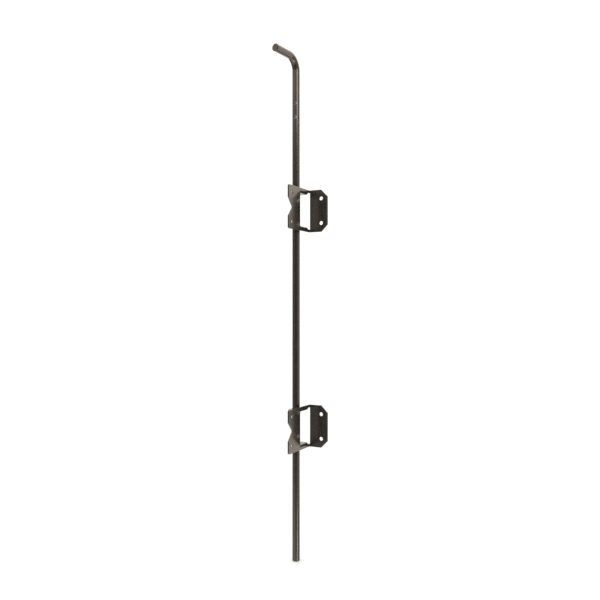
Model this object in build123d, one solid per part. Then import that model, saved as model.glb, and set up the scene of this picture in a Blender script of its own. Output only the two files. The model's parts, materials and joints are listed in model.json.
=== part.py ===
from build123d import *
import os
from math import cos, radians, sin

# Cane bolt: a round steel rod with a bent handle, held upright by two pressed sheet brackets.
# Frame: the rod's axis is Z and its tip stands on z = 0. The plate of each bracket lies along X,
# and its flange runs towards +Y, so a gate stile sits in the corner on the +X +Y side.
# All sizes are in millimetres.

# The rod, half-inch bar measured over its coat
ROD_D = 13.4
ROD_HEIGHT = 914.4  # tip to the top of the handle
HANDLE_REACH = 65.0  # rod axis to the handle's end face
HANDLE_BEND = 24.0  # centreline radius
HANDLE_TURN = -6.0  # degrees from +X, seen from above
END_CHAMFER = 1.2
CROSS_HOLE_D = 5.6
CROSS_HOLE_HEIGHTS = (800.1, 825.5)
CROSS_HOLE_TURN = 13.0  # degrees from +X, seen from above

# The brackets' sheet
SHEET = 2.5
BEND = 1.5  # inside radius of every fold
FOLD_R = BEND + SHEET

# The brackets' outline
BRACKET_HEIGHT = 76.2
PLATE_LENGTH = 81.0  # outside of the fold to the ear's edge
FLANGE_LENGTH = 38.1  # outside of the plate to the flange's edge
EDGE_INSET = 12.7  # holes and corner cuts, from the edges
FOLD_X = -22.2  # outside of the fold, from the rod's axis
PLATE_Y = 15.0  # outside of the plate, from the rod's axis
BRACKET_CENTRES = {"lower_bracket": 242.5, "upper_bracket": 632.2}

# The window in the plate, and the two lugs folded out of it
STRAP = 5.0  # sheet left above and below the window
WINDOW_END_X = 17.0
WINDOW_WRAP = 60.0  # degrees of the corner fold that the window runs into
LUG_WIDTH = 25.4
LUG_END_Y = -12.0
LUG_CORNER_R = 8.0
ROD_CLEARANCE = 0.075  # radial
GUIDE_D = ROD_D + 2 * ROD_CLEARANCE

# The ear, the free end of the plate
NOTCH_WIDTH = 32.0
NOTCH_DEPTH = 14.5
NOTCH_R = 2.0
EAR_CORNER_R = 3.0
EAR_HOLE_D = 6.0

# The flange
FLANGE_HOLE_D = 7.1
FLANGE_HOLE_SPACING = 44.45

HALF = BRACKET_HEIGHT / 2
EAR_X = FOLD_X + PLATE_LENGTH
FLANGE_END_Y = PLATE_Y + FLANGE_LENGTH


def bar():
    """The round bar, bent at the top, with a chamfer at each end."""
    handle_z = ROD_HEIGHT - ROD_D / 2
    path = FilletPolyline(
        (0, 0, 0), (0, 0, handle_z), (HANDLE_REACH, 0, handle_z), radius=HANDLE_BEND
    )
    solid = sweep(Plane.XY * Circle(ROD_D / 2), path)
    ends = [solid.faces().sort_by(Axis.Z)[0], solid.faces().sort_by(Axis.X)[-1]]
    edges = [edge for face in ends for edge in face.edges()]
    return Rot(0, 0, HANDLE_TURN) * chamfer(edges, END_CHAMFER)


def cross_drill(height):
    """A drill's path straight through the rod's axis."""
    drill = Rot(0, 90, 0) * Cylinder(CROSS_HOLE_D / 2, 2 * ROD_D)
    return Pos(0, 0, height) * Rot(0, 0, CROSS_HOLE_TURN) * drill


def cane_rod():
    solid = bar()
    for height in CROSS_HOLE_HEIGHTS:
        solid -= cross_drill(height)
    return solid


def corner_sheet():
    """The plate and the flange, with the fold between them. Bracket parts are centred on z = 0."""
    plate = Pos(FOLD_X, PLATE_Y) * Rectangle(PLATE_LENGTH, SHEET, align=(Align.MIN, Align.MIN))
    flange = Pos(FOLD_X, PLATE_Y) * Rectangle(SHEET, FLANGE_LENGTH, align=(Align.MIN, Align.MIN))
    profile = plate + flange
    outside = profile.vertices().sort_by_distance((FOLD_X, PLATE_Y, 0))[0]
    profile = fillet(outside, FOLD_R)
    inside = profile.vertices().sort_by_distance((FOLD_X + SHEET, PLATE_Y + SHEET, 0))[0]
    profile = fillet(inside, BEND)
    return Pos(0, 0, -HALF) * extrude(profile, BRACKET_HEIGHT)


def window():
    """The opening between the straps. Its fold side is cut square to the sheet, part way round the fold."""
    centre_x = FOLD_X + FOLD_R
    centre_y = PLATE_Y + FOLD_R
    reach = 2 * FOLD_R
    turn = radians(WINDOW_WRAP)
    outline = Polyline(
        (centre_x, centre_y),
        (centre_x - reach * sin(turn), centre_y - reach * cos(turn)),
        (centre_x, centre_y - reach),
        (WINDOW_END_X, centre_y - reach),
        (WINDOW_END_X, centre_y),
        close=True,
    )
    height = BRACKET_HEIGHT - 2 * STRAP
    return Pos(0, 0, -height / 2) * extrude(make_face(outline), height)


def upper_lug():
    """The flap folded back from the upper strap, with the rod's guide hole."""
    root_z = HALF - STRAP
    fold_y = PLATE_Y - BEND
    side = Plane.YZ * Pos(fold_y, root_z) * (Circle(FOLD_R) - Circle(BEND))
    quarter = Plane.YZ * Pos(fold_y, root_z) * Rectangle(
        FOLD_R, FOLD_R, align=(Align.MIN, Align.MAX)
    )
    fold = extrude(side & quarter, LUG_WIDTH / 2, both=True)
    length = fold_y - LUG_END_Y
    middle = Pos(0, LUG_END_Y + length / 2, root_z - BEND - SHEET / 2)
    flap = middle * Box(LUG_WIDTH, length, SHEET)
    corners = flap.edges().filter_by(Axis.Z).group_by(Axis.Y)[0]
    flap = fillet(corners, LUG_CORNER_R)
    guide = Pos(0, 0, root_z) * Cylinder(GUIDE_D / 2, BRACKET_HEIGHT / 2)
    return fold + flap - guide


def ear_notch():
    """The V cut in the ear's edge, with a rounded point."""
    outline = Polyline(
        (EAR_X - NOTCH_DEPTH, 0),
        (EAR_X, NOTCH_WIDTH / 2),
        (EAR_X + SHEET, NOTCH_WIDTH / 2),
        (EAR_X + SHEET, -NOTCH_WIDTH / 2),
        (EAR_X, -NOTCH_WIDTH / 2),
        close=True,
    )
    face = make_face(outline)
    point = face.vertices().sort_by(Axis.X)[0]
    return through_plate(fillet(point, NOTCH_R))


def through_plate(face):
    """Carry a face drawn in X and Z, on the local XY plane, through the plate."""
    return Pos(0, PLATE_Y + SHEET / 2, 0) * Rot(90, 0, 0) * extrude(face, SHEET, both=True)


def through_flange(face):
    """Carry a face drawn in Y and Z, on the local XY plane, through the flange."""
    return Pos(FOLD_X + SHEET / 2, 0, 0) * (Plane.YZ * extrude(face, SHEET, both=True))


def ear_holes():
    x = EAR_X - EDGE_INSET
    z = HALF - EDGE_INSET
    circle = Circle(EAR_HOLE_D / 2)
    return through_plate(Pos(x, z) * circle + Pos(x, -z) * circle)


def flange_holes():
    y = FLANGE_END_Y - EDGE_INSET
    z = FLANGE_HOLE_SPACING / 2
    circle = Circle(FLANGE_HOLE_D / 2)
    return through_flange(Pos(y, z) * circle + Pos(y, -z) * circle)


def blank():
    """The folded sheet with its outside corners shaped and its window open."""
    solid = corner_sheet()
    ear_corners = solid.edges().filter_by(Axis.Y).group_by(Axis.X)[-1]
    solid = fillet(ear_corners, EAR_CORNER_R)
    flange_corners = solid.edges().filter_by(Axis.X).group_by(Axis.Y)[-1]
    solid = chamfer(flange_corners, EDGE_INSET)
    return solid - window() - ear_notch()


def bracket():
    lug = upper_lug()
    return blank() + lug + mirror(lug, Plane.XY) - ear_holes() - flange_holes()


def parts():
    """Every sub-part by its node name."""
    made = {"cane_rod": cane_rod()}
    for name, height in BRACKET_CENTRES.items():
        made[name] = Pos(0, 0, height) * bracket()
    return made


os.makedirs("parts", exist_ok=True)
for name, solid in parts().items():
    export_step(solid, f"parts/{name}.step")
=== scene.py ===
import json
from math import cos, pi, radians, sin, tan

import bmesh
import bpy
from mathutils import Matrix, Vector

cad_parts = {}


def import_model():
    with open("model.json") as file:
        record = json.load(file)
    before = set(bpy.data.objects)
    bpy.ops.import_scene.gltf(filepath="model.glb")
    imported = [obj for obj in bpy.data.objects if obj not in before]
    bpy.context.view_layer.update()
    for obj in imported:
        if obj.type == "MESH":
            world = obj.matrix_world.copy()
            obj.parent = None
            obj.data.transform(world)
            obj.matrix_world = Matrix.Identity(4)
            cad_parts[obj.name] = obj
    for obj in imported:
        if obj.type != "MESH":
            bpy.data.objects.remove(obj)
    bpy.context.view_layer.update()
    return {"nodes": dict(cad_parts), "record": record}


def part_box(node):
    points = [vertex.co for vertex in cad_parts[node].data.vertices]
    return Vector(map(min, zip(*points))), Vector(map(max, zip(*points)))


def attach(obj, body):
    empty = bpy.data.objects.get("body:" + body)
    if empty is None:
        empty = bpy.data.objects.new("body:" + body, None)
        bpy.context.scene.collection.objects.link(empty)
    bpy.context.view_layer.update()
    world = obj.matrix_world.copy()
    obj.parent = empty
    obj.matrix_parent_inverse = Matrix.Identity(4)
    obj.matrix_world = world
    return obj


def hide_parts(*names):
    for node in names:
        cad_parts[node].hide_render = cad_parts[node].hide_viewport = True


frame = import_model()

MM = 0.001

# The rod. Its tip is at the frame's origin, and its height and reach come from its box.
ROD_R = 6.7 * MM
END_CHAMFER = 1.2 * MM
END_R = ROD_R - END_CHAMFER
HANDLE_BEND = 24.0 * MM  # centreline radius
HANDLE_TURN = radians(-6.0)  # from +X, seen from above
ROD_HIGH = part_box("cane_rod")[1]
HANDLE_HEIGHT = ROD_HIGH[2] - ROD_R
HANDLE_REACH = (ROD_HIGH[0] + END_R * sin(HANDLE_TURN)) / cos(HANDLE_TURN)
CROSS_HOLE_R = 2.8 * MM
CROSS_HOLE_TURN = radians(13.0)  # from +X, seen from above
DRILL_REACH = 1.6  # from the rod's axis, in rod radii

# How finely the rod's skin is divided
STRAIGHT_STEPS = 96
BEND_STEPS = 40
ROD_AROUND = 64
HOLE_AROUND = 48
ROD_SHARP = radians(35)

# How the brackets' edges are eased
WELD = 0.002 * MM
FLAT_ENOUGH = radians(0.5)
EDGE_ROUND = 0.25 * MM
EDGE_SHARP = radians(40)

# The coat's colours, and the warm tint of its shine
ROD_BLACK = (0.0205, 0.0163, 0.0136)
BRACKET_BLACK = (0.0235, 0.0207, 0.0178)
COAT_BROWN = (0.034, 0.025, 0.018)
SHINE_TINT = (1.0, 0.87, 0.75)

# The coat's patterns: cells in a metre, octaves, and how strong the finer octaves are
CLOUD = (48.0, 4.0, 0.55)
PATCH = (130.0, 3.0, 0.6)
MARKS = (2600.0, 3.0, 0.6)
PEEL = (2200.0, 2.0, 0.5)
CLOUD_SPAN = (0.3, 0.7)
PATCH_SPAN = (0.5, 0.72)
SMOOTHER = 0.03  # the least roughness, under the coat's own
ROUGHER = 0.04  # the most roughness, over the coat's own
MARKS_STRENGTH = 0.25
PEEL_STRENGTH = 0.15

# The camera: level, from the stile's side of the brackets. Its places are in metres, the lens and
# the sensor in millimetres, and the shift is a part of the sensor's width.
VIEW_TURN = radians(118.0)
VIEW_DISTANCE = 1.2317
VIEW_HEIGHT = 0.4625
VIEW_RIGHT = 0.00704
SHIFT_UP = 0.0078
LENS = 40.9
SENSOR = 36.0

# The studio. The floor lies just under the rod's tip.
WORLD_LIGHT = 1.12
FLOOR_HALF = 8.0
FLOOR_DROP = 0.5 * MM
FLOOR_WHITE = 0.6
FLOOR_GLOW = 0.4
CARD_STEPS = 24
CARD_SOFT = 0.18  # part of a card's height over which its edge fades
CARD_TINT = (1.0, 0.97, 0.93)

# The cards: name, turns and elevations in degrees, distance in metres, brightness, and the
# brightness of the top and bottom edges where that is another. What they mean is in card().
CARDS = (
    ("wall", (-110, 60), (-40, 40), 2.4, 0.72),
    ("front", (-22, 60), (-40, 40), 2.35, 0.5),
    ("side", (58, 98), (-40, 40), 2.3, 0.28),
    ("left", (-110, -30), (-17.5, 17.5), 2.2, 0.24, 0.72),
    ("dark", (-35, 30), (-20.5, 17.5), 2.1, 0.05, 0.5),
    ("right", (30, 60), (-17.5, 17.5), 2.2, 0.34, 0.5),
    ("far_right", (58, 98), (-17.5, 17.5), 2.2, 0.44, 0.28),
    ("shade_high", (-68, -44), (4, 13), 2.1, 0.17),
    ("shade_low", (-68, -44), (-14, -5), 2.1, 0.14),
    ("behind_left", (-163, -110), (-40, 40), 2.4, 0.15),
    ("behind_right", (136, 163), (-50, 20), 2.4, 0.22),
    ("beside", (98, 136), (-40, 40), 2.5, 1.15),
    ("beside_level", (117, 136), (-12.5, 9.5), 2.2, 0.3, 1.1),
    ("strip_high", (23, 52), (14.5, 40), 2.0, 3.3),
    ("strip_low", (38, 52), (-40, -17.0), 2.0, 4.2),
    ("rim", (134, 162), (10, 44), 2.4, 3.0, 1.15),
)


# ---------------------------------------------------------------- materials

class Nodes:
    """Short calls for building one material's node tree round its shader."""

    def __init__(self, name, kind="BsdfPrincipled"):
        self.material = bpy.data.materials.new(name)
        self.material.use_nodes = True
        self.tree = self.material.node_tree
        self.tree.nodes.clear()
        output = self.new("OutputMaterial")
        self.shader = self.new(kind)
        self.link(self.shader.outputs[0], output.inputs["Surface"])

    def new(self, kind, **settings):
        node = self.tree.nodes.new("ShaderNode" + kind)
        for key, value in settings.items():
            setattr(node, key, value)
        return node

    def link(self, source, target):
        self.tree.links.new(source, target)

    def place(self, scale=(1, 1, 1)):
        """Object coordinates, in metres, stretched by scale."""
        coordinates = self.new("TexCoord")
        mapping = self.new("Mapping")
        mapping.inputs["Scale"].default_value = scale
        self.link(coordinates.outputs["Object"], mapping.inputs["Vector"])
        return mapping.outputs["Vector"]

    def noise(self, place, scale, detail, roughness):
        node = self.new("TexNoise")
        node.inputs["Scale"].default_value = scale
        node.inputs["Detail"].default_value = detail
        node.inputs["Roughness"].default_value = roughness
        self.link(place, node.inputs["Vector"])
        return node.outputs["Fac"]

    def spread(self, value, span, to):
        """value carried from one span of numbers to another, and held at the ends."""
        node = self.new("MapRange")
        for key, number in zip(("From Min", "From Max", "To Min", "To Max"), span + to):
            node.inputs[key].default_value = number
        self.link(value, node.inputs["Value"])
        return node.outputs["Result"]

    def mix(self, amount, first, second):
        """A colour from first to second by amount. Each is a colour or a socket."""
        node = self.new("Mix", data_type="RGBA")
        self.link(amount, node.inputs["Factor"])
        for colour, key in ((first, "A"), (second, "B")):
            socket = [s for s in node.inputs if s.name == key and s.type == "RGBA"][0]
            if isinstance(colour, tuple):
                socket.default_value = (*colour, 1)
            else:
                self.link(colour, socket)
        return [s for s in node.outputs if s.type == "RGBA"][0]

    def bump(self, height, distance, strength, normal=None):
        """The normal of a surface raised by height, on top of an earlier bump's normal."""
        node = self.new("Bump")
        node.inputs["Distance"].default_value = distance
        node.inputs["Strength"].default_value = strength
        self.link(height, node.inputs["Height"])
        if normal:
            self.link(normal, node.inputs["Normal"])
        return node.outputs["Normal"]


def black_coat(name, black, grain, depth, roughness, ior):
    """A thin satin black coat on steel, a little brown in patches.

    grain stretches the drawn or rolled marks of the metal under it, and depth is how deep they are.
    """
    n = Nodes(name)
    cloud = n.noise(n.place(), *CLOUD)
    patch = n.noise(n.place(), *PATCH)
    marks = n.noise(n.place(grain), *MARKS)
    peel = n.noise(n.place(), *PEEL)
    brown = n.spread(patch, PATCH_SPAN, (0.0, 1.0))
    n.link(n.mix(brown, black, COAT_BROWN), n.shader.inputs["Base Color"])
    rough = n.spread(cloud, CLOUD_SPAN, (roughness - SMOOTHER, roughness + ROUGHER))
    n.link(rough, n.shader.inputs["Roughness"])
    fine = n.bump(peel, depth, PEEL_STRENGTH)
    n.link(n.bump(marks, depth, MARKS_STRENGTH, fine), n.shader.inputs["Normal"])
    n.shader.inputs["IOR"].default_value = ior
    n.shader.inputs["Specular Tint"].default_value = (*SHINE_TINT, 1)
    return n.material


def pale(name, brightness, glow):
    """A matt white surface with a little light of its own, which keeps shadows on it faint."""
    n = Nodes(name)
    n.shader.inputs["Base Color"].default_value = (brightness, brightness, brightness, 1)
    n.shader.inputs["Roughness"].default_value = 0.9
    n.shader.inputs["Specular IOR Level"].default_value = 0.0
    n.shader.inputs["Emission Color"].default_value = (1, 1, 1, 1)
    n.shader.inputs["Emission Strength"].default_value = glow
    return n.material


def glowing(name, brightness, edge):
    """A surface that gives off light, going over to edge's brightness at its top and bottom."""
    n = Nodes(name, "Emission")
    ramp = n.new("ValToRGB")
    stops = ramp.color_ramp.elements
    for place in (CARD_SOFT, 1 - CARD_SOFT):
        stops.new(place)
    for stop, light in zip(stops, (edge, brightness, brightness, edge)):
        stop.color = (*[light * part for part in CARD_TINT], 1)
    split = n.new("SeparateXYZ")
    n.link(n.new("TexCoord").outputs["Generated"], split.inputs["Vector"])
    n.link(split.outputs["Z"], ramp.inputs["Fac"])
    n.link(ramp.outputs["Color"], n.shader.inputs["Color"])
    return n.material


def dress(obj, material):
    obj.data.materials.clear()
    obj.data.materials.append(material)


# ---------------------------------------------------------------- pieces

def add_object(name, mesh):
    obj = bpy.data.objects.new(name, mesh)
    bpy.context.scene.collection.objects.link(obj)
    return obj


def rod_rings():
    """The bar's rings from tip to handle end: (place on its middle line, direction, radius)."""
    up = Vector((0, 0, 1))
    out = Vector((cos(HANDLE_TURN), sin(HANDLE_TURN), 0))
    rings = [(Vector((0, 0, 0)), up, END_R), (up * END_CHAMFER, up, ROD_R)]
    bend_start = HANDLE_HEIGHT - HANDLE_BEND
    straight = bend_start - END_CHAMFER
    for i in range(1, STRAIGHT_STEPS):
        rings.append((up * (END_CHAMFER + straight * i / STRAIGHT_STEPS), up, ROD_R))
    centre = up * bend_start + out * HANDLE_BEND
    for i in range(BEND_STEPS + 1):
        a = pi / 2 * i / BEND_STEPS
        place = centre - out * HANDLE_BEND * cos(a) + up * HANDLE_BEND * sin(a)
        rings.append((place, up * cos(a) + out * sin(a), ROD_R))
    top = up * HANDLE_HEIGHT
    rings.append((top + out * (HANDLE_REACH - END_CHAMFER), out, ROD_R))
    rings.append((top + out * HANDLE_REACH, out, END_R))
    return rings


def tube_mesh(name, rings, side, around):
    """A closed skin over the rings, with a flat face at each end.

    side is square to every ring's direction, and around is the number of points in a ring.
    """
    mesh = bmesh.new()
    turns = [2 * pi * k / around for k in range(around)]
    loops = []
    for place, direction, radius in rings:
        other = direction.cross(side)
        points = [place + (side * cos(t) + other * sin(t)) * radius for t in turns]
        loops.append([mesh.verts.new(point) for point in points])
    for low, high in zip(loops, loops[1:]):
        for k in range(around):
            n = (k + 1) % around
            mesh.faces.new((low[k], low[n], high[n], high[k]))
    mesh.faces.new(list(reversed(loops[0])))
    mesh.faces.new(loops[-1])
    bmesh.ops.recalc_face_normals(mesh, faces=mesh.faces)
    data = bpy.data.meshes.new(name)
    mesh.to_mesh(data)
    mesh.free()
    return data


def drill(height):
    """The path of the drill that goes through the rod's middle line, past both sides of the bar."""
    along = Vector((cos(CROSS_HOLE_TURN), sin(CROSS_HOLE_TURN), 0))
    side = Vector((0, 0, 1))
    middle = side * height
    reach = along * DRILL_REACH * ROD_R
    rings = [(middle - reach, along, CROSS_HOLE_R), (middle + reach, along, CROSS_HOLE_R)]
    return add_object("drill", tube_mesh("drill", rings, side, HOLE_AROUND))


def apply_modifiers(obj):
    """Keep the mesh that the modifiers make, and drop the modifiers."""
    graph = bpy.context.evaluated_depsgraph_get()
    made = bpy.data.meshes.new_from_object(obj.evaluated_get(graph), depsgraph=graph)
    obj.modifiers.clear()
    obj.data = made


def smooth(obj):
    for polygon in obj.data.polygons:
        polygon.use_smooth = True


def finish_piece(obj, body, node, coat):
    """Give a piece its coat and the body it rides on, and hide the node it stands for."""
    dress(obj, coat)
    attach(obj, body)
    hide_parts(node)


def rod():
    """The bent bar, with its cross holes at the heights of the record's mounts."""
    side = Vector((-sin(HANDLE_TURN), cos(HANDLE_TURN), 0))
    obj = add_object("rod", tube_mesh("rod", rod_rings(), side, ROD_AROUND))
    mounts = frame["record"]["mounts"]
    heights = [m["pos_m"][2] for m in mounts if m["name"].endswith("cross_hole")]
    drills = [drill(height) for height in heights]
    for cutter in drills:
        cut = obj.modifiers.new("cut", "BOOLEAN")
        cut.operation = "DIFFERENCE"
        cut.solver = "EXACT"
        cut.object = cutter
    apply_modifiers(obj)
    for cutter in drills:
        bpy.data.objects.remove(cutter)
    smooth(obj)
    obj.data.set_sharp_from_angle(angle=ROD_SHARP)
    coat = black_coat(
        "rod coat", ROD_BLACK, grain=(1, 1, 0.04), depth=0.002 * MM, roughness=0.17, ior=2.1
    )
    finish_piece(obj, "rod", "cane_rod", coat)


def bracket(node, coat):
    """The pressing with the burr taken off its edges."""
    mesh = bmesh.new()
    mesh.from_mesh(frame["nodes"][node].data)
    bmesh.ops.remove_doubles(mesh, verts=mesh.verts, dist=WELD)
    bmesh.ops.dissolve_limit(mesh, angle_limit=FLAT_ENOUGH, verts=mesh.verts, edges=mesh.edges)
    data = bpy.data.meshes.new(node + " sheet")
    mesh.to_mesh(data)
    mesh.free()
    obj = add_object(node + "_sheet", data)
    obj.matrix_world = frame["nodes"][node].matrix_world
    bevel = obj.modifiers.new("bevel", "BEVEL")
    bevel.width = EDGE_ROUND
    bevel.segments = 2
    bevel.limit_method = "ANGLE"
    bevel.angle_limit = EDGE_SHARP
    flat = obj.modifiers.new("flat", "WEIGHTED_NORMAL")
    flat.weight = 100
    flat.keep_sharp = False
    smooth(obj)
    apply_modifiers(obj)
    finish_piece(obj, "brackets", node, coat)


def brackets():
    coat = black_coat(
        "bracket coat", BRACKET_BLACK, grain=(1, 1, 1), depth=0.004 * MM, roughness=0.165, ior=2.4
    )
    for node in ("lower_bracket", "upper_bracket"):
        bracket(node, coat)


# ---------------------------------------------------------------- studio

def aim(obj, place, target):
    obj.location = place
    obj.rotation_euler = (Vector(target) - Vector(place)).to_track_quat("-Z", "Y").to_euler()


def level(turn):
    """The level direction from the object to a place at turn to the right of the camera."""
    angle = VIEW_TURN + turn
    return Vector((sin(angle), -cos(angle), 0))


def camera():
    """A level camera, aimed near the middle of the rod's height and a little right of the rod."""
    data = bpy.data.cameras.new("camera")
    data.lens = LENS
    data.sensor_width = SENSOR
    data.shift_y = SHIFT_UP
    obj = add_object("camera", data)
    centre = Vector((0, 0, VIEW_HEIGHT)) + level(pi / 2) * VIEW_RIGHT
    aim(obj, centre + level(0) * VIEW_DISTANCE, centre)
    bpy.context.scene.camera = obj


def card(name, turns, elevations, distance, brightness, edge=None):
    """A curved studio card round the object, which only reflections see.

    turns are from the camera to the right, and elevations are as the camera sees them in a mirror
    on the object's axis.
    """
    low, high = [VIEW_HEIGHT + (VIEW_DISTANCE + distance) * tan(radians(e)) for e in elevations]
    points, faces = [], []
    for i in range(CARD_STEPS + 1):
        turn = radians(turns[0] + (turns[1] - turns[0]) * i / CARD_STEPS)
        place = level(turn) * distance
        points += [(place.x, place.y, low), (place.x, place.y, high)]
    for i in range(CARD_STEPS):
        k = 2 * i
        faces.append((k, k + 2, k + 3, k + 1))
    mesh = bpy.data.meshes.new(name)
    mesh.from_pydata(points, [], faces)
    obj = add_object(name, mesh)
    dress(obj, glowing(name, brightness, brightness if edge is None else edge))
    obj.visible_camera = False
    obj.visible_shadow = False
    obj.visible_diffuse = False


def world():
    """Even white light from all round."""
    bpy.context.scene.view_settings.view_transform = "Standard"
    sky = bpy.data.worlds.new("studio")
    sky.use_nodes = True
    background = sky.node_tree.nodes["Background"]
    background.inputs["Color"].default_value = (1, 1, 1, 1)
    background.inputs["Strength"].default_value = WORLD_LIGHT
    bpy.context.scene.world = sky


def floor():
    """A white floor, left out of reflections."""
    corners = [(-1, -1), (1, -1), (1, 1), (-1, 1)]
    points = [(x * FLOOR_HALF, y * FLOOR_HALF, 0) for x, y in corners]
    mesh = bpy.data.meshes.new("floor")
    mesh.from_pydata(points, [], [(0, 1, 2, 3)])
    obj = add_object("floor", mesh)
    dress(obj, pale("floor", FLOOR_WHITE, FLOOR_GLOW))
    obj.location.z = -FLOOR_DROP
    obj.visible_glossy = False


def studio():
    world()
    floor()
    for row in CARDS:
        card(*row)


brackets()
rod()
camera()
studio()

bpy.context.view_layer.update()
